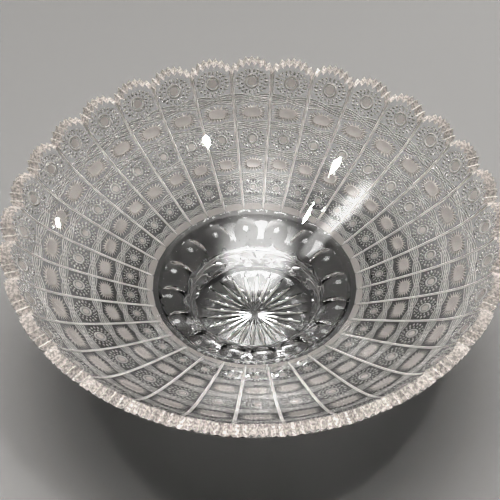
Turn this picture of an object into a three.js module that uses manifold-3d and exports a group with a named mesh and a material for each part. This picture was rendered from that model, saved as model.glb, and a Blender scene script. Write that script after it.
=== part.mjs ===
// Footed cut-crystal punch bowl: a thick flared bowl with a toothed, scalloped rim, standing on a
// solid glass foot. Millimetres, +Z up, origin at the middle of the face that it stands on.

import * as THREE from 'three';
import Module from 'manifold-3d';
import { mergeVertices } from 'three/addons/utils/BufferGeometryUtils.js';

const wasm = await Module();
wasm.setup();

// ---- driving dimensions, mm and degrees ----
const RIM_RADIUS = 178; // outer edge of the rim
const RIM_HEIGHT = 139.5; // tips of the highest teeth
const WALL = 8.2; // glass thickness, square to the wall
const RING_RADIUS = 75; // inside radius where the deep well turns into the open wall
const WELL_DEPTH = 23.5; // from that ring down to the inside floor
const RING_SLOPE = 28; // slope of the wall at the ring
const RIM_SLOPE = 66; // slope of the wall at the rim
const RING_REACH = 72; // how far the wall keeps the ring's slope
const RIM_REACH = 26; // how far the wall keeps the rim's slope

const PANELS = 32; // scallops round the rim, one over each panel of the cut pattern
const TEETH = 7; // teeth along one scallop
const SCALLOP_RISE = 7.5; // crest of a scallop above its two ends
const TOOTH_DEPTH = 3.2;
const NOTCH_DEPTH = 2.4; // notch between two scallops, below their ends
const NOTCH_ROOT = 0.01; // of half a scallop's width, left flat at the bottom of the notch

const SPLIT_WIDTH = 3.2; // polished mitre cut between two panels
const SPLIT_DEPTH = 1.5;
const SPLIT_ROOT = 0.3; // width left at the bottom of the cut

const FOOT_HEIGHT = 35;
const FOOT_RADIUS = 57;
const FOOT_WAIST = 51; // radius where the foot joins the bowl
const FOOT_TREAD = 55; // radius of the face it stands on
const THUMB_CUTS = 16; // hollow cuts round the well, and as many flutes round the foot
const THUMB_PLACE = 0.82; // along the well's curve, from the middle to the ring
const THUMB_LENGTH = 24; // along the wall
const THUMB_WIDTH = 20;
const THUMB_DEPTH = 2.2;
const FLUTE_PLACE = 0.4; // up the curved side of the foot
const FLUTE_LENGTH = 24;
const FLUTE_WIDTH = 17;
const FLUTE_DEPTH = 2.2;

const STAR_RAYS = 24;
const STAR_TURN = 5.35; // the star's angle from the first split
const STAR_RADIUS = 52; // tips of the rays
const STAR_CENTRE = 3; // plain middle of the star
const RAY_WIDTH = 5.2; // at the ray's widest
const RAY_DEPTH = 2;
const RAY_SWELL = 0.6; // where along its length a ray is widest

// ---- fineness of the solids ----
const TURN_STEPS = PANELS * 2;
const WELL_STEPS = 4;
const WALL_STEPS = 5;
const CUP_SIDES = 8;
const CUP_RINGS = 6;
const CLEAR = 6; // how far a cutter stands past the glass it cuts

// ---- places that follow from the sizes ----
const FLOOR_HEIGHT = FOOT_HEIGHT + WALL;
const RING_HEIGHT = FLOOR_HEIGHT + WELL_DEPTH;
const PANEL_ANGLE = (2 * Math.PI) / PANELS;
const ringSlope = THREE.MathUtils.degToRad(RING_SLOPE);
const rimSlope = THREE.MathUtils.degToRad(RIM_SLOPE);
const innerRim = new THREE.Vector2(RIM_RADIUS - WALL * Math.sin(rimSlope), RIM_HEIGHT);

// The inside of the glass, as radius and height: a round well, then the open wall up to the rim.
const well = new THREE.QuadraticBezierCurve(
  new THREE.Vector2(0, FLOOR_HEIGHT),
  new THREE.Vector2(RING_RADIUS - WELL_DEPTH / Math.tan(ringSlope), FLOOR_HEIGHT),
  new THREE.Vector2(RING_RADIUS, RING_HEIGHT),
);
const wall = new THREE.CubicBezierCurve(
  new THREE.Vector2(RING_RADIUS, RING_HEIGHT),
  new THREE.Vector2(
    RING_RADIUS + RING_REACH * Math.cos(ringSlope),
    RING_HEIGHT + RING_REACH * Math.sin(ringSlope),
  ),
  new THREE.Vector2(
    innerRim.x - RIM_REACH * Math.cos(rimSlope),
    innerRim.y - RIM_REACH * Math.sin(rimSlope),
  ),
  innerRim,
);

function outwards(curve, t, distance) {
  const along = curve.getTangent(t);
  const point = curve.getPoint(t);
  return new THREE.Vector2(point.x + along.y * distance, point.y - along.x * distance);
}

function samples(curve, steps, distance = 0) {
  return Array.from({ length: steps + 1 }, (_, i) => outwards(curve, i / steps, distance));
}

// A closed three.js geometry as a manifold solid: shared corners merged, collapsed triangles left out.
function solidOf(geometry) {
  const bare = new THREE.BufferGeometry();
  bare.setAttribute('position', geometry.getAttribute('position').clone());
  if (geometry.index) bare.setIndex(geometry.index.clone());
  const merged = mergeVertices(bare, 1e-3);
  const corners = [];
  for (let i = 0; i < merged.index.count; i += 3) {
    const [a, b, c] = [0, 1, 2].map((k) => merged.index.getX(i + k));
    if (a !== b && b !== c && c !== a) corners.push(a, b, c);
  }
  return new wasm.Manifold(
    new wasm.Mesh({
      numProp: 3,
      vertProperties: new Float32Array(merged.getAttribute('position').array),
      triVerts: new Uint32Array(corners),
    }),
  );
}

function geometryOf(solid) {
  const mesh = solid.getMesh();
  const geometry = new THREE.BufferGeometry();
  geometry.setAttribute('position', new THREE.BufferAttribute(mesh.vertProperties, 3));
  geometry.setIndex(new THREE.BufferAttribute(mesh.triVerts, 1));
  geometry.computeVertexNormals();
  return geometry;
}

// A profile of radius and height turned about the upright axis.
function turned(profile) {
  return solidOf(new THREE.LatheGeometry(profile, TURN_STEPS).rotateX(Math.PI / 2));
}

function cutAll(solid, cutters) {
  return cutters.reduce((left, cutter) => left.subtract(cutter), solid);
}

// ---- bowl ----

function bowlBlank() {
  const outside = [
    ...samples(well, WELL_STEPS, WALL).filter((p) => p.x > FOOT_WAIST && p.y > FOOT_HEIGHT),
    ...samples(wall, WALL_STEPS, WALL).slice(1),
  ];
  const inside = [...samples(well, WELL_STEPS), ...samples(wall, WALL_STEPS).slice(1)].reverse();
  outside[outside.length - 1].y = RIM_HEIGHT;
  return turned([
    new THREE.Vector2(0, FOOT_HEIGHT),
    new THREE.Vector2(FOOT_WAIST, FOOT_HEIGHT),
    ...outside,
    ...inside,
  ]);
}

// What is ground away over one scallop: an arch of teeth with a mitre notch at each end.
function scallopCutter(index) {
  const reach = RIM_RADIUS + CLEAR;
  const inner = innerRim.x - WALL - CLEAR;
  const halfWidth = Math.tan(PANEL_ANGLE / 2);
  const notch = RIM_HEIGHT - SCALLOP_RISE - NOTCH_DEPTH;
  const side = (k) => (2 * k) / TEETH - 1;
  const arch = (k) => RIM_HEIGHT - SCALLOP_RISE * side(k) ** 2;
  const outline = [
    new THREE.Vector2(-1 - NOTCH_ROOT, RIM_HEIGHT + CLEAR),
    new THREE.Vector2(-1 - NOTCH_ROOT, notch),
    new THREE.Vector2(-1 + NOTCH_ROOT, notch),
  ];
  for (let tooth = 0; tooth < TEETH; tooth++) {
    if (tooth > 0) outline.push(new THREE.Vector2(side(tooth), arch(tooth) - TOOTH_DEPTH));
    outline.push(new THREE.Vector2(side(tooth + 0.5), arch(tooth + 0.5)));
  }
  outline.push(
    new THREE.Vector2(1 - NOTCH_ROOT, notch),
    new THREE.Vector2(1 + NOTCH_ROOT, notch),
    new THREE.Vector2(1 + NOTCH_ROOT, RIM_HEIGHT + CLEAR),
  );
  const cutter = new THREE.ExtrudeGeometry(new THREE.Shape(outline), {
    depth: reach - inner,
    bevelEnabled: false,
  });
  const places = cutter.getAttribute('position');
  for (let i = 0; i < places.count; i++) {
    const radius = inner + places.getZ(i);
    places.setXYZ(i, radius, places.getX(i) * halfWidth * radius, places.getY(i));
  }
  return solidOf(cutter.rotateZ((index + 0.5) * PANEL_ANGLE));
}

// The straight mitre cut that runs up the outside between two panels: a fin with a narrow root.
function splitCutter(index) {
  const root = samples(wall, WALL_STEPS, WALL - SPLIT_DEPTH);
  const mouth = samples(wall, WALL_STEPS, WALL + SPLIT_DEPTH).reverse();
  const isRoot = (x, y) => root.some((p) => Math.hypot(p.x - x, p.y - y) < 1e-3);
  const fin = new THREE.ExtrudeGeometry(new THREE.Shape([...root, ...mouth]), {
    depth: 1,
    bevelEnabled: false,
  });
  const places = fin.getAttribute('position');
  for (let i = 0; i < places.count; i++) {
    const [radius, height] = [places.getX(i), places.getY(i)];
    const half = isRoot(radius, height) ? SPLIT_ROOT / 2 : SPLIT_WIDTH - SPLIT_ROOT / 2;
    places.setXYZ(i, radius, (1 - 2 * places.getZ(i)) * half, height);
  }
  return solidOf(fin.rotateZ(index * PANEL_ANGLE));
}

// A cutter like the edge of a round wheel: it leaves a hollow of this length, width and depth where
// it is set on a surface, with +X out of the surface and +Z along it.
function cupCutter(length, width, depth) {
  const height = 3 * depth;
  const spread = 1 / Math.sqrt(1 - (1 - depth / height) ** 2);
  return new THREE.SphereGeometry(1, CUP_SIDES, CUP_RINGS)
    .rotateX(Math.PI / 2)
    .scale(height, (width / 2) * spread, (length / 2) * spread)
    .translate(height - depth, 0, 0);
}

// One of the ring of hollows that is cut a share of the way along a curve, on the surface that lies
// the given distance outside it.
function hollowCutter(curve, share, distance, [length, width, depth], index) {
  const place = outwards(curve, share, distance);
  const along = curve.getTangent(share);
  const cup = cupCutter(length, width, depth)
    .rotateY(Math.PI / 2 - Math.atan2(along.y, along.x))
    .translate(place.x, 0, place.y)
    .rotateZ((index * 2 * Math.PI) / THUMB_CUTS);
  return solidOf(cup);
}

const thumbCutter = (index) =>
  hollowCutter(well, THUMB_PLACE, WALL, [THUMB_LENGTH, THUMB_WIDTH, THUMB_DEPTH], index);

function bowl() {
  const panels = [...Array(PANELS).keys()];
  const thumbs = [...Array(THUMB_CUTS).keys()];
  return cutAll(bowlBlank(), [
    ...panels.map(scallopCutter),
    ...panels.map(splitCutter),
    ...thumbs.map(thumbCutter),
  ]);
}

// ---- foot ----

const footSide = new THREE.QuadraticBezierCurve(
  new THREE.Vector2(FOOT_RADIUS, FOOT_HEIGHT / 6),
  new THREE.Vector2(FOOT_WAIST, FOOT_HEIGHT / 2),
  new THREE.Vector2(FOOT_WAIST, FOOT_HEIGHT),
);

function footBlank() {
  return turned([
    new THREE.Vector2(0, 0),
    new THREE.Vector2(FOOT_TREAD, 0),
    new THREE.Vector2(FOOT_RADIUS, FOOT_RADIUS - FOOT_TREAD),
    ...footSide.getPoints(WELL_STEPS),
    new THREE.Vector2(0, FOOT_HEIGHT),
  ]);
}

const fluteCutter = (index) =>
  hollowCutter(footSide, FLUTE_PLACE, 0, [FLUTE_LENGTH, FLUTE_WIDTH, FLUTE_DEPTH], index);

// One ray of the star under the foot: a four-sided hollow, widest at its swell.
function rayCutter(index) {
  const length = STAR_RADIUS - STAR_CENTRE;
  const swell = STAR_CENTRE + RAY_SWELL * length;
  const ray = new THREE.ConeGeometry(1, 2, 4);
  const places = ray.getAttribute('position');
  for (let i = 0; i < places.count; i++) {
    const reach = places.getX(i) > 0 ? STAR_RADIUS - swell : swell - STAR_CENTRE;
    places.setXYZ(
      i,
      swell + 2 * reach * places.getX(i),
      -RAY_WIDTH * places.getZ(i),
      RAY_DEPTH * places.getY(i),
    );
  }
  const turn = THREE.MathUtils.degToRad(STAR_TURN) + (index * 2 * Math.PI) / STAR_RAYS;
  return solidOf(ray.rotateZ(turn));
}

function foot() {
  const flutes = [...Array(THUMB_CUTS).keys()].map(fluteCutter);
  const rays = [...Array(STAR_RAYS).keys()].map(rayCutter);
  return cutAll(footBlank(), [...flutes, ...rays]);
}

// ---- the assembly ----

function crystal(name, colour, solid) {
  const material = new THREE.MeshStandardMaterial({ color: colour, roughness: 0.05, metalness: 0 });
  const mesh = new THREE.Mesh(geometryOf(solid), material);
  mesh.name = name;
  return mesh;
}

const punchBowl = new THREE.Group();
punchBowl.add(crystal('bowl', 0xdfdedb, bowl()), crystal('foot', 0xd6d8d6, foot()));

export default punchBowl;
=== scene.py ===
"""Cut-crystal punch bowl: a flared bowl of clear lead crystal on a solid fluted foot."""

import math

import bmesh
import bpy
import numpy as np
from mathutils import Matrix, Vector
from mathutils.geometry import delaunay_2d_cdt


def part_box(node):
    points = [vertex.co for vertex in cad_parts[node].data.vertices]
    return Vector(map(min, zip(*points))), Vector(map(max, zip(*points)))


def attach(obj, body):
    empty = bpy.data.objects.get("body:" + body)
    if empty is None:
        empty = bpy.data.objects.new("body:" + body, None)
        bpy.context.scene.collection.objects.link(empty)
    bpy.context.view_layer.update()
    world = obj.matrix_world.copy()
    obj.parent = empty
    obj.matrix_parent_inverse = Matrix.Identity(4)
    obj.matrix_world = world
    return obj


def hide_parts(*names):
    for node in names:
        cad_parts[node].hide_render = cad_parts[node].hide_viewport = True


bl_info = {
    "name": "Cut-crystal punch bowl",
    "version": (1, 0, 0),
    "blender": (4, 5, 0),
    "location": "View3D > Sidebar > Crystal",
    "description": "Builds a footed cut-crystal punch bowl and its studio stage",
    "category": "Add Mesh",
}

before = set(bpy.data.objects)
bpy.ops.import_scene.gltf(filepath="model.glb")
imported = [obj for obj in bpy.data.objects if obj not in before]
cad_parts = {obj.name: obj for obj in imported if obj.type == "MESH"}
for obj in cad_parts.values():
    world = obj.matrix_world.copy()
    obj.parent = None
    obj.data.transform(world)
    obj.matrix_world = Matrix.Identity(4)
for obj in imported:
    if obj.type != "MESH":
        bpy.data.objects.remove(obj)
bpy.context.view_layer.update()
BOWL_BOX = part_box("bowl")
FOOT_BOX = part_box("foot")

MM = 0.001
TURN = 2 * math.pi
RIM_HEIGHT = BOWL_BOX[1][2] / MM
FOOT_HEIGHT = FOOT_BOX[1][2] / MM
FOOT_RADIUS = FOOT_BOX[1][0] / MM

# What the wheel leaves behind, with white painted along the cuts as a highlight, kept on each face as
# the attribute "finish".
POLISHED, MITRE, SPLIT, SATIN, RIM, JOINT = range(6)
FINISH_NAMES = ("Polished", "Mitre", "Split", "Satin", "Rim", "Joint")

# Sizes in mm that the cuts keep whatever the settings say.
SPLIT_START = 1.0  # above the ring
SPLIT_RUN_OUT = 4.0  # from there to its full width and depth
SPLIT_NARROW = 0.75  # its width at the ring, as a share of that at the rim
SPLIT_ROOT = 0.85  # the white painted at its root as a highlight, as a share of its width
THUMB = (24, 20, 3.2)  # length, width and depth
THUMB_SHARE = 0.82  # along the well's curve, from the middle to the ring
FLUTE = (24, 17, 2.2)
FLUTE_SHARE = 0.4  # up the curved side of the foot
GRAZE = 0.02  # depth from which a split changes the finish, or a fine cut at half of it

# How finely the edges are divided where two parts of a piece meet.
JOINT_STEPS = 9
RING_STEPS = 8
NIL = 1e-6  # stands in for a width or a radius of nothing

WELD = 0.01 * MM
SHARP = math.radians(22)


# ---------------------------------------------------------------- settings


class BowlSettings(bpy.types.PropertyGroup):
    """Sizes of the bowl's glass and of its cut pattern."""

    wall: bpy.props.FloatProperty(
        name="Wall",
        description="Thickness of the glass, square to the wall",
        default=8.2 * MM,
        unit="LENGTH",
    )
    rim_radius: bpy.props.FloatProperty(
        name="Rim radius",
        description="Outer edge of the rim",
        default=178 * MM,
        unit="LENGTH",
    )
    ring_radius: bpy.props.FloatProperty(
        name="Ring radius",
        description="Inside radius where the well turns into the open wall",
        default=75 * MM,
        unit="LENGTH",
    )
    well_depth: bpy.props.FloatProperty(
        name="Well depth",
        description="From the ring down to the inside floor",
        default=23.5 * MM,
        unit="LENGTH",
    )
    ring_slope: bpy.props.FloatProperty(
        name="Slope at the ring",
        description="Slope of the wall where it leaves the well",
        default=math.radians(28),
        unit="ROTATION",
    )
    rim_slope: bpy.props.FloatProperty(
        name="Slope at the rim",
        description="Slope of the wall at the rim",
        default=math.radians(66),
        unit="ROTATION",
    )
    panels: bpy.props.IntProperty(
        name="Panels", description="Cut panels round the wall, each with its scallop", default=32
    )
    teeth: bpy.props.IntProperty(
        name="Teeth", description="Teeth ground along one scallop", default=7
    )
    thumb_cuts: bpy.props.IntProperty(
        name="Thumb cuts", description="Hollow cuts round the well and round the foot", default=16
    )
    split_width: bpy.props.FloatProperty(
        name="Split width",
        description="Width at the rim of the mitre cut between two panels",
        default=3.4 * MM,
        unit="LENGTH",
    )
    split_depth: bpy.props.FloatProperty(
        name="Split depth",
        description="Depth at the rim of the mitre cut between two panels",
        default=1.6 * MM,
        unit="LENGTH",
    )


class FootSettings(bpy.types.PropertyGroup):
    """Sizes of the foot and the star cut under it."""

    waist: bpy.props.FloatProperty(
        name="Waist",
        description="Radius where the foot joins the bowl",
        default=51 * MM,
        unit="LENGTH",
    )
    tread: bpy.props.FloatProperty(
        name="Tread",
        description="Radius of the face that it stands on",
        default=55 * MM,
        unit="LENGTH",
    )
    rays: bpy.props.IntProperty(
        name="Rays", description="Rays of the star cut under the foot", default=24
    )
    star_turn: bpy.props.FloatProperty(
        name="Star turn",
        description="The star's angle from the first split",
        default=math.radians(5.35),
        unit="ROTATION",
    )


class FinishSettings(bpy.types.PropertyGroup):
    """Colours of the crystal and of the stage."""

    crystal: bpy.props.StringProperty(
        name="Crystal", description="Tint of the clear glass, sRGB hex", default="FCFCFC"
    )
    satin: bpy.props.StringProperty(
        name="Satin", description="Colour of the ground glass, sRGB hex", default="F5F1EE"
    )
    rim: bpy.props.StringProperty(
        name="Rim", description="Colour of the ground rim, sRGB hex", default="DEDAD7"
    )
    floor: bpy.props.StringProperty(
        name="Floor", description="Colour of the floor, sRGB hex", default="908F8E"
    )


# ---------------------------------------------------------------- section of the glass


def bezier(points, t):
    """Points of a Bezier curve at the shares t, by repeated halving of its control polygon."""
    levels = [np.outer(np.ones_like(t), point) for point in points]
    while len(levels) > 1:
        levels = [a * (1 - t)[:, None] + b * t[:, None] for a, b in zip(levels, levels[1:])]
    return levels[0]


class Curve:
    """A smooth section line that can be read by the distance along it."""

    def __init__(self, points):
        self.points = points
        steps = np.diff(points, axis=0)
        self.along = np.concatenate([[0], np.cumsum(np.hypot(steps[:, 0], steps[:, 1]))])
        self.slope = np.arctan2(np.gradient(points[:, 1]), np.gradient(points[:, 0]))
        self.length = self.along[-1]

    def at(self, distance):
        """Radius, height and slope at these distances."""
        return [
            np.interp(distance, self.along, column)
            for column in (self.points[:, 0], self.points[:, 1], self.slope)
        ]

    def at_height(self, height):
        return np.interp(height, self.points[:, 1], self.along)

    def offset(self, distance):
        """The same line moved square to itself, out of the bowl."""
        square = np.column_stack([np.sin(self.slope), -np.cos(self.slope)])
        return Curve(self.points + square * distance)


class Section:
    """The bowl's glass as four lines: well and wall, inside and outside."""

    RING_REACH = 72  # mm that the wall keeps the ring's slope
    RIM_REACH = 26  # mm that it keeps the rim's slope
    FILLET = (4, 2.2)  # at the joint with the foot: its width, and how far it is drawn down, mm
    SAMPLES = 400
    FILLET_SAMPLES = 20
    LIP = 1e-3  # keeps the last step of the outside from being nothing

    def __init__(self, bowl, foot):
        wall = bowl.wall / MM
        ring = bowl.ring_radius / MM
        depth = bowl.well_depth / MM
        floor = FOOT_HEIGHT + wall
        rim = (bowl.rim_radius / MM - wall * math.sin(bowl.rim_slope), RIM_HEIGHT)
        start = (ring, floor + depth)
        near_ring = (
            ring + self.RING_REACH * math.cos(bowl.ring_slope),
            start[1] + self.RING_REACH * math.sin(bowl.ring_slope),
        )
        near_rim = (
            rim[0] - self.RIM_REACH * math.cos(bowl.rim_slope),
            rim[1] - self.RIM_REACH * math.sin(bowl.rim_slope),
        )
        t = np.linspace(0, 1, self.SAMPLES)
        self.well_in = Curve(
            bezier([(0, floor), (ring - depth / math.tan(bowl.ring_slope), floor), start], t)
        )
        self.wall_in = Curve(bezier([start, near_ring, near_rim, rim], t))
        well_out = self.well_in.offset(wall).points
        waist = foot.waist / MM
        out, down = self.FILLET
        kept = well_out[well_out[:, 0] > waist + out]
        corners = [(waist, FOOT_HEIGHT), (waist, kept[0][1] - down), kept[0]]
        fillet = bezier(corners, np.linspace(0, 1, self.FILLET_SAMPLES))
        self.well_out = Curve(np.vstack([fillet[:-1], kept]))
        thumb = well_out[round(THUMB_SHARE * (self.SAMPLES - 1))]
        self.thumb_place = float(np.interp(thumb[0], self.well_out.points[:, 0], self.well_out.along))
        wall_out = self.wall_in.offset(wall).points
        top = wall_out[-1] + (RIM_HEIGHT - wall_out[-1][1]) * np.array([0.0, 1.0])
        self.wall_out = Curve(np.vstack([wall_out, top + (0, self.LIP)]))


# ---------------------------------------------------------------- cuts of the pattern


class MitreCut:
    """A V-shaped cut along a line of points, with a half width at each. Its depth goes with it."""

    finish = MITRE

    def __init__(self, path, widths, depth, closed=False):
        self.path = np.array(path, float)
        self.widths = np.array(widths, float)
        self.depth = depth
        self.closed = closed

    def lines(self):
        """Corner points and edges of the cut's two shoulders and its root."""
        path, widths, count = self.path, self.widths, len(self.path)
        before = np.roll(path, 1, axis=0)
        after = np.roll(path, -1, axis=0)
        if not self.closed:
            before[0], after[-1] = path[0], path[-1]
        along = after - before
        along /= np.linalg.norm(along, axis=1)[:, None]
        square = np.column_stack([-along[:, 1], along[:, 0]]) * widths[:, None]
        points = np.vstack([path - square, path, path + square])
        steps = [(i, (i + 1) % count) for i in range(count if self.closed else count - 1)]
        edges = [(row * count + a, row * count + b) for row in range(3) for a, b in steps]
        return points, edges

    def depth_at(self, places):
        """How deep this cut goes at each place, 0 outside it."""
        deep = np.zeros(len(places))
        count = len(self.path)
        full = self.widths.max()
        for i in range(count if self.closed else count - 1):
            a, b = self.path[i], self.path[(i + 1) % count]
            wa, wb = self.widths[i], self.widths[(i + 1) % count]
            span = b - a
            share = np.clip((places - a) @ span / (span @ span), 0, 1)
            off = np.linalg.norm(places - (a + share[:, None] * span), axis=1)
            width = wa + (wb - wa) * share
            depth = self.depth * width / full
            deep = np.maximum(deep, depth * (1 - off / np.maximum(width, NIL)))
        return deep


class RayedStar:
    """A squarish oval of ground rays with a pointed outline, each ray a V towards the middle."""

    finish = SATIN
    SQUARENESS = 3.2
    # Shares of the way from the middle to the tips.
    NOTCH = 0.62
    WAIST = 0.55
    HUB = 0.14
    RIDGE = 0.25  # depth left between two rays, as a share of theirs

    def __init__(self, centre, reach, rays, depth):
        self.centre = np.array(centre, float)
        self.reach = np.array(reach, float)
        self.rays = rays
        self.depth = depth

    def ring(self, share, half_step):
        places = circle((0, 0), 1.0, self.rays, half_step * TURN / self.rays)
        return self.centre + share * places / self.spread(places)[:, None] * self.reach

    def spread(self, offset):
        """How far out each offset lies, 1 on the tips' oval."""
        power = self.SQUARENESS
        return (np.abs(offset) ** power).sum(axis=1) ** (1 / power)

    def lines(self):
        n = self.rays
        rings = [(1, 0), (self.NOTCH, 0.5), (self.WAIST, 0), (self.HUB, 0)]
        points = np.vstack([self.ring(*ring) for ring in rings])
        edges = []
        for i in range(n):
            tip, notch, root, hub = i, n + i, 2 * n + i, 3 * n + i
            edges += [(tip, notch), (notch, (i + 1) % n), (tip, root), (root, hub)]
            edges += [(hub, 3 * n + (i + 1) % n)]
        return points, edges

    def depth_at(self, places):
        offset = (places - self.centre) / self.reach
        share = self.spread(offset)
        turn = np.arctan2(offset[:, 1], offset[:, 0]) * self.rays / TURN
        aside = np.abs(turn - np.round(turn)) * 2
        outline = 1 - (1 - self.NOTCH) * aside
        rise = np.clip((outline - share) / (1 - self.WAIST), 0, 1)
        ray = (1 - aside) * np.clip(share / self.WAIST, 0, 1)
        deep = self.depth * rise * (self.RIDGE + (1 - self.RIDGE) * ray)
        return np.where(share < outline + NIL, deep, 0)


class GroundPatch:
    """An area ground matt without depth, inside an outline of points."""

    finish = SATIN

    def __init__(self, outline):
        self.outline = np.array(outline, float)

    def lines(self):
        count = len(self.outline)
        return self.outline, [(i, (i + 1) % count) for i in range(count)]

    def holds(self, places):
        inside = np.zeros(len(places), bool)
        a = self.outline
        b = np.roll(a, -1, axis=0)
        for (ax, ay), (bx, by) in zip(a, b):
            crosses = (ay > places[:, 1]) != (by > places[:, 1])
            if by != ay:
                inside ^= crosses & (places[:, 0] < (bx - ax) * (places[:, 1] - ay) / (by - ay) + ax)
        return inside

    def depth_at(self, places):
        return np.zeros(len(places))


def circle(centre, radius, count, turn=0.0):
    angles = np.arange(count) * TURN / count + turn
    return np.array(centre) + radius * np.column_stack([np.cos(angles), np.sin(angles)])


TICK_SWELL = 0.45  # where along a short cut it is widest
TICK_POINT = 0.02  # half its width at its ends, mm


def rayed(centre, near, far, count, half_width, depth, turn=0.5):
    """Short pointed cuts round a centre, between two ovals; far and near are (across, along)."""
    cuts = []
    widths = [TICK_POINT, half_width, TICK_POINT]
    for i in range(count):
        angle = (i + turn) * TURN / count
        aim = np.array([math.cos(angle), math.sin(angle)])
        start = np.array(centre) + aim * near
        end = np.array(centre) + aim * far
        middle = start + (end - start) * TICK_SWELL
        cuts.append(MitreCut([start, middle, end], widths, depth))
    return cuts


# Parts of a rosette, as shares of the radius of its button.
RING_WIDTH = 0.22  # half the width of the cut round it, and its depth
BUTTON_MATT = 0.7
TICKS_START = 1.34
PETAL_WIDTH = 1.1  # as a share of a tick's width
PETAL_GAP = 0.2  # between ticks and petals, mm
RING_SIDES, MATT_SIDES = 18, 14


def rosette(centre, button, tick, reach, ticks, petals, small):
    """A round button with a bright ring, a matt middle and a sunburst of short cuts."""
    width = button * RING_WIDTH
    ring = MitreCut(circle(centre, button, RING_SIDES), [width] * RING_SIDES, width, closed=True)
    cuts = [ring, GroundPatch(circle(centre, button * BUTTON_MATT, MATT_SIDES))]
    near, far = button * TICKS_START + np.array([0, tick])
    cuts += rayed(centre, near, far, ticks, small, small)
    petal = small * PETAL_WIDTH
    cuts += rayed(centre, far + PETAL_GAP, np.array(reach), petals, petal, small, turn=0.0)
    return cuts


BAND_CUT = 0.31  # half the width and the depth of a band's cuts, as a share of their spacing
BAND_POINTS = 7


def crossing_band(middle, half, swing, spacing, rows):
    """Two bundles of touching curved cuts that cross in the middle of the panel."""
    cuts = []
    width = spacing * BAND_CUT
    x = np.linspace(-half, half, BAND_POINTS)
    for way in (-1, 1):
        for row in range(rows):
            shift = (row - (rows - 1) / 2) * spacing
            y = middle + shift + way * swing * np.sin(x / half * math.pi / 2)
            cuts.append(MitreCut(np.column_stack([x, y]), [width] * BAND_POINTS, width))
    return cuts


# ---------------------------------------------------------------- one panel


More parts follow.
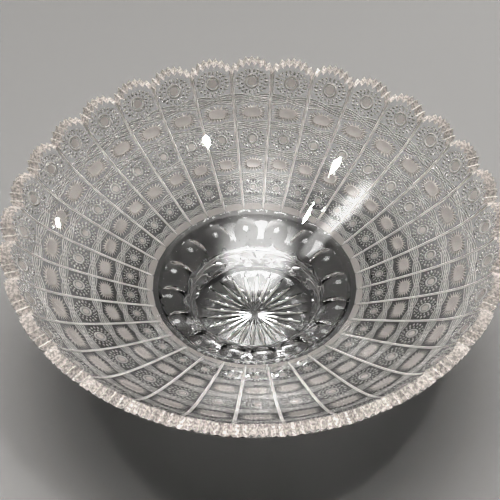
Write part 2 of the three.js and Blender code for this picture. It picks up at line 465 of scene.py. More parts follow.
class Panel:
    """Everything cut into one panel of the wall, laid out flat: x across it, y up it, in mm."""

    # The ground patch above the ring: where it starts, its corners, its shoulders and its top.
    PATCH = (0.8, 5.3, 6.1, 6.4)
    PATCH_SHOULDER = 0.6  # across, as a share of half the panel
    PATCH_WIDTH_AT = 0.02  # where up the panel its width is taken
    # Each crossing band: its place as a share of the way up, its swing and its spacing.
    BANDS = [
        (0.078, 1.7, 1.4),
        (0.240, 1.8, 1.4),
        (0.412, 1.8, 1.5),
        (0.605, 1.8, 1.55),
        (0.790, 2.4, 1.8),
    ]
    BAND_ROWS = 3
    BAND_PAST = 0.3  # how far a band's cuts run into the split
    # Each rayed star: its place, half its height and its rays.
    STARS = [(0.330, 6.4, 20), (0.695, 7.3, 22)]
    STAR_FILL, STAR_DEPTH = 0.97, 0.9
    # Each rosette: its place, where the panel's width is taken for it, its button's radius, the
    # length of its ticks, half its height, the number of ticks and of petals, and their size.
    ROSETTES = [
        (0.163, 0.15, 2.8, 1.7, 5.8, 12, 14, 0.7),
        (0.510, 0.50, 4.0, 2.2, 8.2, 14, 18, 0.9),
        (0.912, 0.90, 5.3, 2.5, 10.4, 16, 22, 1.05),
    ]
    ROSETTE_FILL = 0.98

    SCALLOP_RISE = 7.5
    TOOTH_DEPTH = 3.2
    NOTCH_DEPTH = 2.4

    # Rows of corners up the sheet, kept close where the splits run out above the ring.
    LOW_ROWS = (0, SPLIT_START, 2, 3.5, 5)
    LOW_TOP, LOW_STEP = 8, 1.5
    HIGH_STEP, INSIDE_STEP = 3.4, 5.5
    HIGHEST = 130
    BELOW_RIM = 0.5  # no row lies closer under the ends of a scallop
    PAST_NOTCH = 3  # how far the lines of a split run on past them
    SPACING = 4.2

    def __init__(self, section, bowl):
        self.section = section
        self.teeth = bowl.teeth
        self.half_angle = math.pi / bowl.panels
        self.split = (bowl.split_width / MM / 2, bowl.split_depth / MM)
        self.split_top = float(section.wall_out.at_height(self.rim_points()[0][1]))

    def half_width(self, y):
        return self.half_angle * self.section.wall_out.at(y)[0]

    def cuts(self):
        """The pattern from the ring up to the rim."""
        top = self.split_top
        across = lambda share: float(self.half_width(share * top) - self.split_at(share * top)[0])
        cuts = [self.ground_patch(across(self.PATCH_WIDTH_AT))]
        for share, swing, spacing in self.BANDS:
            half = across(share) + self.BAND_PAST
            cuts += crossing_band(share * top, half, swing, spacing, self.BAND_ROWS)
        for share, tall, rays in self.STARS:
            reach = (across(share) * self.STAR_FILL, tall)
            cuts.append(RayedStar((0, share * top), reach, rays, self.STAR_DEPTH))
        for share, width_at, button, tick, tall, ticks, petals, small in self.ROSETTES:
            reach = (across(width_at) * self.ROSETTE_FILL, tall)
            cuts += rosette((0, share * top), button, tick, reach, ticks, petals, small)
        return cuts

    def ground_patch(self, half):
        start, corner, shoulder, top = self.PATCH
        side = half * self.PATCH_SHOULDER
        right = [(half, start), (half, corner), (side, shoulder)]
        left = [(-side, shoulder), (-half, corner)]
        return GroundPatch([(-half, start), *right, (0, top), *left])

    def rim_points(self):
        """The toothed edge of one scallop: share across the half panel, and height."""
        notch = RIM_HEIGHT - self.SCALLOP_RISE - self.NOTCH_DEPTH
        arch = lambda side: RIM_HEIGHT - self.SCALLOP_RISE * side**2
        points = [(-1.0, notch)]
        for tooth in range(self.teeth):
            valley = 2 * tooth / self.teeth - 1
            tip = valley + 1 / self.teeth
            if tooth:
                points.append((valley, arch(valley) - self.TOOTH_DEPTH))
            points.append((tip, arch(tip)))
        return points + [(1.0, notch)]

    def split_at(self, y):
        """Half width and depth of the split: it runs out above the ring and widens to the rim."""
        share = np.clip((y - SPLIT_START) / SPLIT_RUN_OUT, 0, 1)
        share = share * (SPLIT_NARROW + (1 - SPLIT_NARROW) * y / self.split_top)
        return self.split[0] * share, self.split[1] * share

    def split_depth_at(self, places):
        width, full = self.split_at(places[:, 1])
        aside = self.half_width(places[:, 1]) - np.abs(places[:, 0])
        return full * np.clip(1 - aside / np.maximum(width, NIL), 0, 1)

    def outline(self, line, rows):
        """The panel's border on the outer or the inner line, and the part of it along the rim."""
        half = lambda y: float(self.half_angle * line.at(y)[0])
        rim = [(side * half(y), y) for side, y in self.rim_on(line)]
        rows = [y for y in rows if y < rim[0][1] - self.BELOW_RIM]
        left = [(-half(y), y) for y in rows]
        right = [(-x, y) for x, y in left]
        foot = [(side * half(0), 0.0) for side in (-0.5, 0, 0.5)]
        return left[::-1] + foot + right + rim[::-1], rim

    def rim_on(self, line):
        return [(side, float(line.at_height(height))) for side, height in self.rim_points()]

    def add_to(self, glass):
        """The cut outer face, the polished inner face and the ground rim between them."""
        outer_rim = self.add_outside(glass)
        inner_rim = self.add_inside(glass)
        glass.bridge(outer_rim, inner_rim, RIM)

    def add_outside(self, glass):
        line = self.section.wall_out
        high = np.arange(self.LOW_TOP, self.HIGHEST, self.HIGH_STEP)
        outline, rim = self.outline(line, [*self.LOW_ROWS, *high])
        low = np.arange(SPLIT_START, self.LOW_TOP, self.LOW_STEP)
        rows = [*low, *np.arange(self.LOW_TOP, rim[0][1] + self.PAST_NOTCH, self.HIGH_STEP)]
        shoulders = []
        for aside in (1, -1, SPLIT_ROOT, -SPLIT_ROOT):
            way = math.copysign(1, aside)
            shoulders.append(
                [(way * self.half_width(y) - aside * self.split_at(y)[0], y) for y in rows]
            )
        cuts = self.cuts()
        sheet = Sheet(outline, cuts, shoulders, spacing=self.SPACING)
        depth = np.maximum(deepest(cuts, sheet.places), self.split_depth_at(sheet.places))
        radius, height, slope = line.at(sheet.places[:, 1])
        angle = sheet.places[:, 0] / self.half_width(sheet.places[:, 1]) * self.half_angle
        corners = turned(radius - depth * np.sin(slope), height + depth * np.cos(slope), angle)
        middles = sheet.middles()
        finish = finishes(cuts, middles)
        in_split = self.split_depth_at(middles)
        finish[in_split > GRAZE] = POLISHED
        finish[in_split > (1 - SPLIT_ROOT) * self.split_at(middles[:, 1])[1]] = SPLIT
        glass.add(corners, sheet.triangles, finish)
        return corners[sheet.on(rim)]

    def add_inside(self, glass):
        line = self.section.wall_in
        outline, rim = self.outline(line, np.arange(0, self.HIGHEST, self.INSIDE_STEP))
        sheet = Sheet(outline, spacing=self.INSIDE_STEP)
        radius, height, _ = line.at(sheet.places[:, 1])
        angle = sheet.places[:, 0] / radius
        corners = turned(radius, height, angle)
        glass.add(corners, sheet.triangles[:, ::-1], POLISHED)
        return corners[sheet.on(rim)]


# ---------------------------------------------------------------- meshes


def deepest(cuts, places):
    return np.max([cut.depth_at(places) for cut in cuts], axis=0)


def finishes(cuts, places):
    """The finish at each place: that of the deepest cut there, or of a matt patch."""
    finish = np.full(len(places), POLISHED)
    deep = np.array([cut.depth_at(places) for cut in cuts])
    most = deep.max(axis=0)
    for cut, own in zip(cuts, deep):
        if isinstance(cut, GroundPatch):
            finish[cut.holds(places) & (most < GRAZE)] = cut.finish
        else:
            finish[(own > GRAZE / 2) & (own >= most)] = cut.finish
    return finish


def turned(radius, height, angle):
    """Points round the upright axis, in mm."""
    return np.column_stack([radius * np.cos(angle), radius * np.sin(angle), height])


class Sheet:
    """A flat region with cuts drawn on it, divided into triangles that follow every line."""

    MERGE = 0.02  # corners closer than this are made one
    CLEARANCE = 0.45  # of the grid's points from the lines, as a share of their spacing
    ON_LINE = 0.01
    PAST_END = 1e-3  # as a share of the edge's length

    def __init__(self, outline, cuts=(), lines=(), spacing=3.0):
        points, edges = [], []

        def add(new_points, new_edges):
            base = len(points)
            points.extend((float(x), float(y)) for x, y in new_points)
            edges.extend((base + a, base + b) for a, b in new_edges)

        count = len(outline)
        add(outline, [(i, (i + 1) % count) for i in range(count)])
        for cut in cuts:
            add(*cut.lines())
        for line in lines:
            add(line, [(i, i + 1) for i in range(len(line) - 1)])
        add(self.fill(np.array(outline), np.array(points), spacing), [])
        found = delaunay_2d_cdt([Vector(p) for p in points], edges, [], 0, self.MERGE, True)
        places = np.array([(v.x, v.y) for v in found[0]])
        triangles = np.array(found[2])
        triangles = triangles[GroundPatch(outline).holds(places[triangles].mean(axis=1))]
        used = np.unique(triangles)
        renumber = np.zeros(len(places), int)
        renumber[used] = np.arange(len(used))
        self.places = places[used]
        self.triangles = renumber[triangles]

    def fill(self, outline, taken, spacing):
        """An even grid of further points, clear of the ones already there."""
        low, high = outline.min(axis=0), outline.max(axis=0)
        x = np.arange(low[0] + spacing / 2, high[0], spacing)
        y = np.arange(low[1] + spacing / 2, high[1], spacing)
        grid = np.array(np.meshgrid(x, y)).reshape(2, -1).T
        gap = np.min(np.linalg.norm(grid[:, None] - taken[None], axis=2), axis=1)
        return grid[(gap > spacing * self.CLEARANCE) & GroundPatch(outline).holds(grid)]

    def middles(self):
        return self.places[self.triangles].mean(axis=1)

    def on(self, path):
        """The numbers of the corners that lie on a path, in the path's order."""
        found = []
        for start, end in zip(np.array(path)[:-1], np.array(path)[1:]):
            span = end - start
            share = (self.places - start) @ span / (span @ span)
            off = np.linalg.norm(self.places - start - np.outer(share, span), axis=1)
            along = (share > -self.PAST_END) & (share < 1 + self.PAST_END)
            held = np.flatnonzero((off < self.ON_LINE) & along)
            found += [i for i in held[np.argsort(share[held])] if i not in found[-1:]]
        return found


class Glass:
    """Corners and faces gathered for one mesh, in mm, with the finish of each face."""

    def __init__(self):
        self.corners = []
        self.faces = []
        self.finish = []

    def add(self, corners, faces, finish):
        base = len(self.corners)
        self.corners.extend(tuple(c) for c in corners)
        self.faces.extend(tuple(int(i) + base for i in face) for face in faces)
        self.finish.extend(np.broadcast_to(finish, len(faces)).tolist())

    def bridge(self, first, second, finish):
        """Triangles between two edges that start and end side by side."""
        if len(first) != len(second):
            raise ValueError(f"the rim has {len(first)} corners outside and {len(second)} inside")
        count = len(first)
        faces = []
        for i in range(count - 1):
            faces += [(i, i + 1, count + i + 1), (i, count + i + 1, count + i)]
        self.add([*first, *second], faces, finish)

    def mesh(self, name):
        mesh = bpy.data.meshes.new(name)
        mesh.from_pydata([(x * MM, y * MM, z * MM) for x, y, z in self.corners], [], self.faces)
        layer = mesh.attributes.new("finish", "INT", "FACE")
        layer.data.foreach_set("value", self.finish)
        return mesh


class ThumbCut:
    """A shallow round hollow in an ellipse."""

    SIDES = 28
    RINGS = (1.0, 0.8, 0.55, 0.28)  # shares of the way out that its rings of corners lie at

    def __init__(self, centre, length, width, depth):
        self.centre = np.array(centre, float)
        self.reach = np.array([width / 2, length / 2])
        self.depth = depth

    def lines(self):
        points, edges = [], []
        for share in self.RINGS:
            base = len(points)
            points += list(self.centre + circle((0, 0), share, self.SIDES) * self.reach)
            edges += [(base + i, base + (i + 1) % self.SIDES) for i in range(self.SIDES)]
        return points, edges

    def depth_at(self, places):
        offset = (places - self.centre) / self.reach
        return self.depth * np.clip(1 - (offset**2).sum(axis=1), 0, None)


def row_across(half, y, steps, way=1):
    """Points across a share at y, from its left edge to its right, or back with a way of -1."""
    return [(side * half(y), y) for side in np.linspace(-way, way, steps + 1)]


def share_outline(half, bottom, rows, top, steps):
    """The border of a share: its bottom, then rows up its right side, its top, and down its left."""
    right = [(half(y), y) for y in rows]
    left = [(-x, y) for x, y in right[::-1]]
    return bottom + right + row_across(half, top, steps, way=-1) + left


class Well:
    """One thumb cut's share of the well, from the ring down to the joint with the foot."""

    GROOVE = 7.0  # width of the hollow that runs round under the ring
    GROOVE_DEPTH = 1.2
    OUTSIDE_STEP, INSIDE_STEP = 2.5, 4.0
    CLEAR = 1  # between the last row and the groove

    def __init__(self, section, bowl):
        self.section = section
        self.half_angle = math.pi / bowl.thumb_cuts

    def add_to(self, glass):
        self.add_outside(glass)
        self.add_inside(glass)
        waist = self.section.well_out.points[0][0]
        add_disc(glass, waist, FOOT_HEIGHT, self.half_angle, JOINT, up=False)

    def add_outside(self, glass):
        line = self.section.well_out
        half = lambda y: float(self.half_angle * line.at(y)[0])
        top = line.length
        groove = [top - self.GROOVE, top - self.GROOVE / 2]
        rows = [*np.arange(self.OUTSIDE_STEP, groove[0] - self.CLEAR, self.OUTSIDE_STEP), *groove]
        bottom = row_across(half, 0.0, JOINT_STEPS)
        outline = share_outline(half, bottom, rows, top, RING_STEPS)
        lines = [row_across(half, y, RING_STEPS) for y in groove]
        thumb = ThumbCut((0, self.section.thumb_place), *THUMB)
        sheet = Sheet(outline, [thumb], lines)
        across, along = sheet.places.T
        in_groove = np.clip(1 - np.abs(along - groove[1]) / (self.GROOVE / 2), 0, 1)
        depth = np.maximum(thumb.depth_at(sheet.places), self.GROOVE_DEPTH * in_groove)
        radius, height, slope = line.at(along)
        radius_cut, height_cut = radius - depth * np.sin(slope), height + depth * np.cos(slope)
        glass.add(turned(radius_cut, height_cut, across / radius), sheet.triangles, POLISHED)

    def add_inside(self, glass):
        line = self.section.well_in
        half = lambda y: float(self.half_angle * line.at(y)[0])
        top = line.length
        rows = np.arange(self.INSIDE_STEP, top - self.INSIDE_STEP / 2, self.INSIDE_STEP)
        outline = share_outline(half, [(0.0, 0.0)], rows, top, RING_STEPS)
        sheet = Sheet(outline, spacing=self.INSIDE_STEP)
        radius, height, _ = line.at(sheet.places[:, 1])
        corners = turned(radius, height, sheet.places[:, 0] / np.maximum(radius, NIL))
        glass.add(corners, sheet.triangles[:, ::-1], POLISHED)


def add_disc(glass, radius, height, half_angle, finish, up):
    """One share of a flat round face, from the axis out."""
    angles = np.linspace(-half_angle, half_angle, JOINT_STEPS + 1)
    corners = np.vstack([[0, 0, height], turned(radius, np.full(len(angles), height), angles)])
    faces = [(0, i, i + 1) if up else (0, i + 1, i) for i in range(1, JOINT_STEPS + 1)]
    glass.add(corners, faces, finish)


class FootSide:
    """One flute's share of the foot's side, from the tread up to the joint."""

    SAMPLES = 40
    ROWS = 10

    def __init__(self, foot, bowl):
        waist, tread = foot.waist / MM, foot.tread / MM
        edge = FOOT_RADIUS - tread
        start = FOOT_HEIGHT / 6
        side = [(FOOT_RADIUS, start), (waist, FOOT_HEIGHT / 2), (waist, FOOT_HEIGHT)]
        # Above the bevel at the tread comes an upright band, and then the curved side.
        self.creases = [edge * math.sqrt(2), edge * math.sqrt(2) + start - edge]
        curved = bezier(side, np.linspace(0, 1, self.SAMPLES))
        self.line = Curve(np.vstack([[(tread, 0), (FOOT_RADIUS, edge)], curved]))
        flute = bezier(side, np.array([FLUTE_SHARE]))[0]
        self.flute = ThumbCut((0, float(self.line.at_height(flute[1]))), *FLUTE)
        self.half_angle = math.pi / bowl.thumb_cuts

    def add_to(self, glass):
        line = self.line
        half = lambda y: float(self.half_angle * line.at(y)[0])
        bevel, band = self.creases
        rows = [*self.creases, *np.linspace(band, line.length, self.ROWS)[1:-1]]
        bottom = row_across(half, 0.0, JOINT_STEPS)
        outline = share_outline(half, bottom, rows, line.length, JOINT_STEPS)
        creases = [row_across(half, y, JOINT_STEPS) for y in self.creases]
        sheet = Sheet(outline, [self.flute], creases)
        across, along = sheet.places.T
        depth = self.flute.depth_at(sheet.places) * (along > bevel)
        radius, height, slope = line.at(along)
        square = np.where(along > bevel + Sheet.ON_LINE, slope, math.pi / 2)
        radius_cut, height_cut = radius - depth * np.sin(square), height + depth * np.cos(square)
        corners = turned(radius_cut, height_cut, across / radius)
        corners[along < NIL, 2] = 0
        glass.add(corners, sheet.triangles, POLISHED)
        add_disc(glass, line.points[-1][0], FOOT_HEIGHT, self.half_angle, JOINT, up=True)


class StarRay:
    """One ray's share of the face under the foot."""

    REACH = (2.5, 52)  # where a ray starts and ends, from the middle
    WIDTH = 5.2
    DEPTH = 2.0
    WHITE_HIGHLIGHT_FROM = 0.45  # the share of its depth from which it gets the split's white, painted as a highlight
    SWELL = 1.25  # a power over 1 puts its widest place past the middle of its length
    POINT = 0.02
    SPINE_POINTS = 9
    # Distances from the middle of the corners along the edge between two rays.
    BORDER = (3, *range(8, 45, 6), 49)
    BORDER_END = 1.5  # and of one more, from the tread's edge
    SPACING = 4.0

    def __init__(self, foot, bowl):
        self.tread = foot.tread / MM
        self.half_angle = math.pi / foot.rays
        self.step = TURN / bowl.thumb_cuts / JOINT_STEPS
        # The face meets the foot's side corner to corner, so its edge lags behind the rays.
        apart = foot.star_turn - self.half_angle + math.pi / bowl.thumb_cuts
        self.lag = (apart + self.step / 2) % self.step - self.step / 2

    def add_to(self, glass):
        share = np.linspace(0, 1, self.SPINE_POINTS)
        spine = self.REACH[0] + share * (self.REACH[1] - self.REACH[0])
        widths = self.WIDTH / 2 * np.sin(math.pi * share**self.SWELL)
        path = np.column_stack([spine, 0 * spine])
        ray = MitreCut(path, np.maximum(widths, self.POINT), self.DEPTH)
        root = MitreCut(path, np.maximum(widths * (1 - self.WHITE_HIGHLIGHT_FROM), self.POINT / 2), self.DEPTH)
        plan = lambda radius, angle: (radius * math.cos(angle), radius * math.sin(angle))
        border = [*self.BORDER, self.tread - self.BORDER_END]
        right = [plan(r, -self.half_angle) for r in border]
        left = [plan(r, self.half_angle) for r in border[::-1]]
        steps = round(2 * self.half_angle / self.step)
        arc = np.linspace(-self.half_angle, self.half_angle, steps + 1) - self.lag
        edge = [plan(self.tread, angle) for angle in arc]
        sheet = Sheet([(0.0, 0.0)] + right + edge + left, [ray, root], spacing=self.SPACING)
        corners = np.column_stack([sheet.places, ray.depth_at(sheet.places)])
        middles = sheet.middles()
        finish = np.where(ray.depth_at(middles) > self.WHITE_HIGHLIGHT_FROM * self.DEPTH, SPLIT, POLISHED)
        glass.add(corners, sheet.triangles[:, ::-1], finish)


# ---------------------------------------------------------------- copies round the axis


def node(tree, kind, settings=None, **links):
    """Adds a node, sets its properties, and links or sets its inputs by name."""
    made = tree.nodes.new(kind)
    for name, value in (settings or {}).items():
        setattr(made, name, value)
    for name, value in links.items():
        socket = made.inputs[int(name[1:])] if name[:1] == "_" else made.inputs[name.replace("_", " ")]
        if isinstance(value, bpy.types.NodeSocket):
            tree.links.new(value, socket)
        else:
            socket.default_value = value
    return made


def wheel_tree():
    """A node tree that sets copies of one share of the glass round the axis and welds them."""
    tree = bpy.data.node_groups.new("cut_round_the_axis", "GeometryNodeTree")
    sockets = [("Share", "NodeSocketGeometry"), ("Copies", "NodeSocketInt")]
    sockets += [("Turn", "NodeSocketFloat"), ("Weld", "NodeSocketFloat")]
    sockets += [(name, "NodeSocketMaterial") for name in FINISH_NAMES]
    for name, kind in sockets:
        tree.interface.new_socket(name, in_out="INPUT", socket_type=kind)
    tree.interface.new_socket("Glass", in_out="OUTPUT", socket_type="NodeSocketGeometry")
    given = tree.nodes.new("NodeGroupInput").outputs
    step = node(tree, "ShaderNodeMath", {"operation": "DIVIDE"}, _0=TURN, _1=given["Copies"])
    index = node(tree, "GeometryNodeInputIndex")
    angle = node(
        tree,
        "ShaderNodeMath",
        {"operation": "MULTIPLY_ADD"},
        _0=index.outputs[0],
        _1=step.outputs[0],
        _2=given["Turn"],
    )
    turn = node(tree, "ShaderNodeCombineXYZ", Z=angle.outputs[0])
    centres = node(tree, "GeometryNodePoints", Count=given["Copies"])
    copies = node(
        tree,
        "GeometryNodeInstanceOnPoints",
        Points=centres.outputs[0],
        Instance=given["Share"],
        Rotation=turn.outputs[0],
    )
    real = node(tree, "GeometryNodeRealizeInstances", Geometry=copies.outputs[0])
    welded = node(
        tree, "GeometryNodeMergeByDistance", Geometry=real.outputs[0], Distance=given["Weld"]
    )
    glass = welded.outputs[0]
    finish = node(tree, "GeometryNodeInputNamedAttribute", {"data_type": "INT"}, Name="finish")
    for number, name in enumerate(FINISH_NAMES):
        same = node(
            tree,
            "FunctionNodeCompare",
            {"data_type": "INT", "operation": "EQUAL"},
            A=finish.outputs["Attribute"],
            B=number,
        )
        glass = node(
            tree,
            "GeometryNodeSetMaterial",
            Geometry=glass,
            Selection=same.outputs[0],
            Material=given[name],
        ).outputs[0]
    out = tree.nodes.new("NodeGroupOutput")
    tree.links.new(glass, out.inputs[0])
    return tree


def set_round(tree, share, copies, turn, materials):
    """The plain mesh of one share of the glass repeated round the axis."""
    part = bpy.data.objects.new(share.name, share)
    bpy.context.scene.collection.objects.link(part)
    modifier = part.modifiers.new("Copies", "NODES")
    modifier.node_group = tree
    values = {"Copies": copies, "Turn": turn, "Weld": WELD}
    values.update(zip(FINISH_NAMES, materials))
    for socket in tree.interface.items_tree:
        if socket.in_out == "INPUT" and socket.name in values:
            modifier[socket.identifier] = values[socket.name]
    seen = part.evaluated_get(bpy.context.evaluated_depsgraph_get())
    mesh = bpy.data.meshes.new_from_object(seen)
    part.modifiers.clear()
    bpy.data.objects.remove(part)
    return mesh


def joined(name, meshes, materials):
    """One closed piece of glass from its parts, shaded smooth with crisp edges at the cuts."""
    shape = bmesh.new()
    for mesh in meshes:
        shape.from_mesh(mesh)
        bpy.data.meshes.remove(mesh)
    bmesh.ops.remove_doubles(shape, verts=shape.verts, dist=WELD * 2)
    bmesh.ops.dissolve_degenerate(shape, dist=WELD / 2, edges=shape.edges)
    open_edges = sum(not edge.is_manifold for edge in shape.edges)
    if open_edges:
        raise RuntimeError(f"{name} has {open_edges} open edges")
    finish = shape.faces.layers.int["finish"]
    for face in shape.faces:
        face.material_index = face[finish]
        face.smooth = True
    bmesh.ops.recalc_face_normals(shape, faces=shape.faces)
    mesh = bpy.data.meshes.new(name)
    shape.to_mesh(mesh)
    shape.free()
    for material in materials:
        mesh.materials.append(material)
    mesh.set_sharp_from_angle(angle=SHARP)
    piece = bpy.data.objects.new(name, mesh)
    bpy.context.scene.collection.objects.link(piece)
    return piece


# ---------------------------------------------------------------- materials


def linear(code):
    """An sRGB hex colour as linear RGBA."""
    parts = [int(code[i : i + 2], 16) / 255 for i in (0, 2, 4)]
    return [c / 12.92 if c <= 0.04045 else ((c + 0.055) / 1.055) ** 2.4 for c in parts] + [1.0]


LEAD_CRYSTAL_IOR = 1.545
CUT_HIGHLIGHT_WHITE = "FBF9F7"  # white painted along the mitre and split cuts: a painted highlight standing in for their bright reflection
SWELLS = 45.0  # to a metre of the polished surface
GRAIN = 0.7 * MM
RIM_PATCHES = 1.7 * MM


def glass_material(name, build):
    """A material of lead crystal, with the surface that build makes."""
    material = bpy.data.materials.new(name)
    material.use_nodes = True
    tree = material.node_tree
    tree.nodes.clear()
    place = node(tree, "ShaderNodeTexCoord").outputs["Object"]
    out = node(tree, "ShaderNodeOutputMaterial")
    tree.links.new(build(tree, place), out.inputs["Surface"])
    return material


def clear_glass(tree, colour, roughness, normal=None):
    glass = node(
        tree,
        "ShaderNodeBsdfPrincipled",
        Base_Color=colour,
        Roughness=roughness,
        IOR=LEAD_CRYSTAL_IOR,
        Transmission_Weight=1.0,
    )
    if normal:
        tree.links.new(normal, glass.inputs["Normal"])
    return glass.outputs[0]


def polished(tree, place):
    """Acid-polished lead crystal: quite clear, with the faint swell of a hand-worked surface."""
    swell = node(tree, "ShaderNodeTexNoise", Vector=place, Scale=SWELLS, Detail=1.0)
    bump = node(tree, "ShaderNodeBump", Height=swell.outputs[0], Strength=0.05, Distance=0.5 * MM)
    return clear_glass(tree, linear(bpy.context.scene.crystal_finish.crystal), 0.0, bump.outputs[0])


def mixed(tree, share, first, second):
    return node(tree, "ShaderNodeMixShader", Fac=share, _1=first, _2=second).outputs[0]


def matt_white_and_painted_highlight(tree, colour, through):
    """The white that the stone leaves on ground glass, and along the mitre and split cuts a painted
    highlight: light spreads back from it and on through it.
    """
    face = node(tree, "ShaderNodeBsdfDiffuse", Color=colour)
    behind = node(tree, "ShaderNodeBsdfTranslucent", Color=colour)
    return mixed(tree, through, face.outputs[0], behind.outputs[0])


def cut_glass(tree, roughness, white, through):
    """The facets of a cut, with a share of them painted white as a highlight: that white lets this
    much light through.
    """
    clear = clear_glass(tree, linear(bpy.context.scene.crystal_finish.crystal), roughness)
    return mixed(tree, white, clear, matt_white_and_painted_highlight(tree, linear(CUT_HIGHLIGHT_WHITE), through))


def mitre(tree, place):
    """A fine cut, polished with a brush: clear facets, with white along the root painted as a
    highlight.
    """
    return cut_glass(tree, roughness=0.03, white=0.7, through=0.25)


def split(tree, place):
    """The root of a long cut: a white line, painted as its highlight."""
    return cut_glass(tree, roughness=0.06, white=0.95, through=0.2)


def ground(tree, place, colour, matt):
    """Crystal left matt by the stone: light spreads in it and the grit shows as a fine grain.
    The grit is 0.1 mm; its grain is drawn at 0.7 mm so that it shows."""
    grit = node(tree, "ShaderNodeTexNoise", Vector=place, Scale=1 / GRAIN, Detail=3.0)
    bump = node(tree, "ShaderNodeBump", Height=grit.outputs[0], Strength=0.5, Distance=0.15 * MM)
    clear = clear_glass(tree, colour, 0.25, bump.outputs[0])
    return mixed(tree, matt, clear, matt_white_and_painted_highlight(tree, colour, 0.4))


def satin(tree, place):
    """The rayed stars and buttons: fine stone, left matt and warm white."""
    return ground(tree, place, linear(bpy.context.scene.crystal_finish.satin), 0.8)


def rim(tree, place):
    """The toothed rim, ground by a coarser wheel and half polished: matt in small patches."""
    patches = node(tree, "ShaderNodeTexNoise", Vector=place, Scale=1 / RIM_PATCHES, Detail=2.0)
    matt = node(
        tree,
        "ShaderNodeMapRange",
        Value=patches.outputs[0],
        From_Min=0.40,
        From_Max=0.60,
        To_Min=0.5,
        To_Max=0.85,
    )
    colour = linear(bpy.context.scene.crystal_finish.rim)
    return ground(tree, place, colour, matt.outputs[0])


def fused(tree, place):
    """Where the two gathers were fused hot there is no surface left to see."""
    return node(tree, "ShaderNodeBsdfTransparent").outputs[0]


FINISHES = {
    "lead_crystal_polished": polished,
    "lead_crystal_mitre_cut": mitre,
    "lead_crystal_split_cut": split,
    "lead_crystal_satin_ground": satin,
    "lead_crystal_ground_rim": rim,
    "lead_crystal_fused_joint": fused,
}


def crystal_finishes():
    """The finishes of the glass, in the order of the attribute "finish"."""
    made = [bpy.data.materials.get(name) for name in FINISHES]
    if None in made:
        made = [glass_material(name, build) for name, build in FINISHES.items()]
    return made


# ---------------------------------------------------------------- operators


def shared_tree():
    return bpy.data.node_groups.get("cut_round_the_axis") or wheel_tree()


def made_round(parts, name, materials):
    """A piece from its shares: each is (name, share, copies, turn)."""
    meshes = []
    for part, share, copies, turn in parts:
        glass = Glass()
        share.add_to(glass)
        meshes.append(set_round(shared_tree(), glass.mesh(part), copies, turn, materials))
    return joined(name, meshes, materials)


class CRYSTAL_OT_bowl(bpy.types.Operator):
    """Cut the bowl: wall with its pattern and toothed rim, and the well with its thumb cuts"""

    bl_idname = "crystal.bowl"
    bl_label = "Cut the bowl"

    def execute(self, context):
        bowl, foot = context.scene.crystal_bowl, context.scene.crystal_foot
        section = Section(bowl, foot)
        parts = [
            ("panel", Panel(section, bowl), bowl.panels, math.pi / bowl.panels),
            ("well", Well(section, bowl), bowl.thumb_cuts, 0.0),
        ]
        piece = made_round(parts, "crystal_bowl", crystal_finishes())
        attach(piece, "root")
        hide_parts("bowl")
        return {"FINISHED"}


class CRYSTAL_OT_foot(bpy.types.Operator):
    """Cut the foot: fluted side, tread and the star under it"""

    bl_idname = "crystal.foot"
    bl_label = "Cut the foot"

    def execute(self, context):
        bowl, foot = context.scene.crystal_bowl, context.scene.crystal_foot
        parts = [
            ("side", FootSide(foot, bowl), bowl.thumb_cuts, 0.0),
            ("star", StarRay(foot, bowl), foot.rays, foot.star_turn),
        ]
        piece = made_round(parts, "crystal_foot", crystal_finishes())
        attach(piece, "root")
        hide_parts("foot")
        return {"FINISHED"}


class CRYSTAL_OT_stage(bpy.types.Operator):
    """Set the pale floor, the soft studio light and the camera"""

    bl_idname = "crystal.stage"
    bl_label = "Set the stage"

    def execute(self, context):
        set_floor(context.scene)
        set_lights(context.scene)
        set_camera(context.scene)
        return {"FINISHED"}


FLOOR_HALF = 6.0
FLOOR_GAP = 0.3 * MM


def set_floor(scene):
    mesh = bpy.data.meshes.new("studio_floor")
    sides = [(-1, -1), (1, -1), (1, 1), (-1, 1)]
    corners = [(x * FLOOR_HALF, y * FLOOR_HALF, -FLOOR_GAP) for x, y in sides]
    mesh.from_pydata(corners, [], [(0, 1, 2, 3)])
    material = bpy.data.materials.new("matt_paper_sweep")
    material.use_nodes = True
    shader = material.node_tree.nodes["Principled BSDF"]
    shader.inputs["Base Color"].default_value = linear(scene.crystal_finish.floor)
    shader.inputs["Roughness"].default_value = 0.9
    mesh.materials.append(material)
    floor = bpy.data.objects.new("studio_floor", mesh)
    scene.collection.objects.link(floor)


# Each light: name, place and size in metres, power in watts.
LIGHTS = [
    ("ceiling_spot", (0.31, -0.25, 1.40), (0.05, 0.05), 3.0),
    ("ceiling_lamp", (-0.54, 0.05, 1.33), (0.04, 0.04), 2.0),
    ("window_side", (0.85, 0.63, 0.65), (0.06, 0.04), 1.5),
]
LIGHTS_AIM = Vector((0, 0, 0.08))
# The room is dim, with soft windows: the direction to each, the angles from that direction, in
# degrees, where its edge starts and where it is at its full, and its brightness.
ROOM_LIGHT = 0.17
WINDOWS = [
    ((0.0, 0.18, 0.984), 26, 14, 7.5),
    ((-0.49, 0.21, 0.846), 6, 3, 4.5),
]


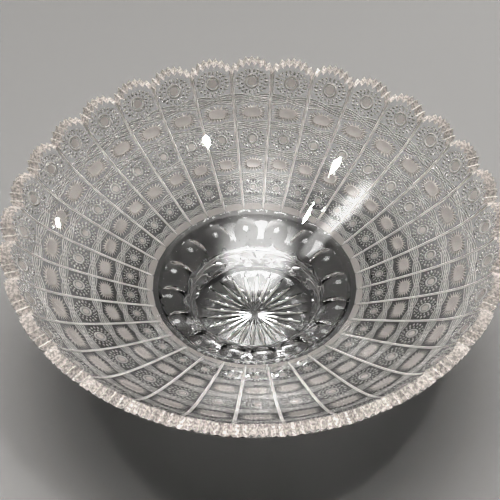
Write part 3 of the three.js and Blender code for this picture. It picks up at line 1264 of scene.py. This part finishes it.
def set_lights(scene):
    world = bpy.data.worlds.new("studio_room")
    world.use_nodes = True
    tree = world.node_tree
    way = node(tree, "ShaderNodeTexCoord").outputs["Generated"]
    light = ROOM_LIGHT
    for towards, edge, full, brightness in WINDOWS:
        facing = node(
            tree, "ShaderNodeVectorMath", {"operation": "DOT_PRODUCT"}, _0=way, _1=towards
        )
        share = node(
            tree,
            "ShaderNodeMapRange",
            {"interpolation_type": "SMOOTHSTEP"},
            Value=facing.outputs["Value"],
            From_Min=math.cos(math.radians(edge)),
            From_Max=math.cos(math.radians(full)),
            To_Max=brightness,
        )
        light = node(tree, "ShaderNodeMath", _0=share.outputs[0], _1=light).outputs[0]
    room = tree.nodes["Background"]
    room.inputs["Color"].default_value = linear("FFFFFF")
    tree.links.new(light, room.inputs["Strength"])
    scene.world = world
    set_contrast(scene.view_settings)
    for name, place, size, power in LIGHTS:
        light = bpy.data.lights.new(name, "AREA")
        light.shape = "RECTANGLE"
        light.size, light.size_y = size
        light.energy = power
        lamp = bpy.data.objects.new(name, light)
        lamp.location = place
        aim = LIGHTS_AIM - Vector(place)
        lamp.rotation_euler = aim.to_track_quat("-Z", "Y").to_euler()
        scene.collection.objects.link(lamp)


# The contrast is raised: values are spread away from the floor's own.
CONTRAST, FLOOR_LEVEL = 2.1, 0.42
SPREAD_FROM, SPREAD_TO, SPREAD_POINTS = 0.06, 0.6, 11
NEAR_WHITE = (0.78, 0.97)
ALL_COLOURS = 3  # the curve that works on red, green and blue together


def set_contrast(view):
    view.view_transform = "Standard"
    view.use_curve_mapping = True
    view.curve_mapping.extend = "HORIZONTAL"
    curve = view.curve_mapping.curves[ALL_COLOURS]
    for level in np.linspace(SPREAD_FROM, SPREAD_TO, SPREAD_POINTS):
        curve.points.new(level, FLOOR_LEVEL * (level / FLOOR_LEVEL) ** CONTRAST)
    curve.points.new(*NEAR_WHITE)
    for point in curve.points:
        point.handle_type = "VECTOR"
    view.curve_mapping.update()


# The view: azimuth, elevation and roll in degrees, and in metres how far off the camera is and
# how far below the rim's height the point lies that its distance and direction are taken from.
VIEW_AZIMUTH, VIEW_ELEVATION, VIEW_ROLL = -96.65, 50.62, 0.26
VIEW_DISTANCE, AIM_BELOW_RIM = 0.7372, 0.0765
LENS, SHIFT = 69.45, (-0.0093, 0.0653)


def set_camera(scene):
    azimuth, elevation = math.radians(VIEW_AZIMUTH), math.radians(VIEW_ELEVATION)
    level = math.cos(elevation)
    towards = Vector((math.cos(azimuth) * level, math.sin(azimuth) * level, math.sin(elevation)))
    data = bpy.data.cameras.new("camera")
    data.lens = LENS
    data.shift_x, data.shift_y = SHIFT
    camera = bpy.data.objects.new("camera", data)
    camera.location = Vector((0, 0, BOWL_BOX[1][2] - AIM_BELOW_RIM)) + towards * VIEW_DISTANCE
    turn = (-towards).to_track_quat("-Z", "Y").to_matrix()
    roll = Matrix.Rotation(math.radians(VIEW_ROLL), 3, "Z")
    camera.rotation_euler = (turn @ roll).to_euler()
    scene.collection.objects.link(camera)
    scene.camera = camera


# ---------------------------------------------------------------- sidebar and start


class CRYSTAL_PT_sidebar(bpy.types.Panel):
    """The bowl's sizes and its three steps"""

    bl_label = "Punch bowl"
    bl_idname = "CRYSTAL_PT_sidebar"
    bl_space_type = "VIEW_3D"
    bl_region_type = "UI"
    bl_category = "Crystal"

    def draw(self, context):
        scene = context.scene
        for group in (scene.crystal_bowl, scene.crystal_foot, scene.crystal_finish):
            box = self.layout.box()
            for name in group.bl_rna.properties.keys():
                if name not in {"rna_type", "name"}:
                    box.prop(group, name)
        for operator in STEPS:
            self.layout.operator(operator.bl_idname)


GROUPS = {
    "crystal_bowl": BowlSettings,
    "crystal_foot": FootSettings,
    "crystal_finish": FinishSettings,
}
STEPS = (CRYSTAL_OT_bowl, CRYSTAL_OT_foot, CRYSTAL_OT_stage)


def register():
    for name, group in GROUPS.items():
        bpy.utils.register_class(group)
        setattr(bpy.types.Scene, name, bpy.props.PointerProperty(type=group))
    for step in STEPS:
        bpy.utils.register_class(step)
    bpy.utils.register_class(CRYSTAL_PT_sidebar)


def unregister():
    bpy.utils.unregister_class(CRYSTAL_PT_sidebar)
    for step in reversed(STEPS):
        bpy.utils.unregister_class(step)
    for name, group in GROUPS.items():
        delattr(bpy.types.Scene, name)
        bpy.utils.unregister_class(group)


def main():
    register()
    bpy.ops.crystal.bowl()
    bpy.ops.crystal.foot()
    bpy.ops.crystal.stage()


if __name__ == "__main__":
    main()
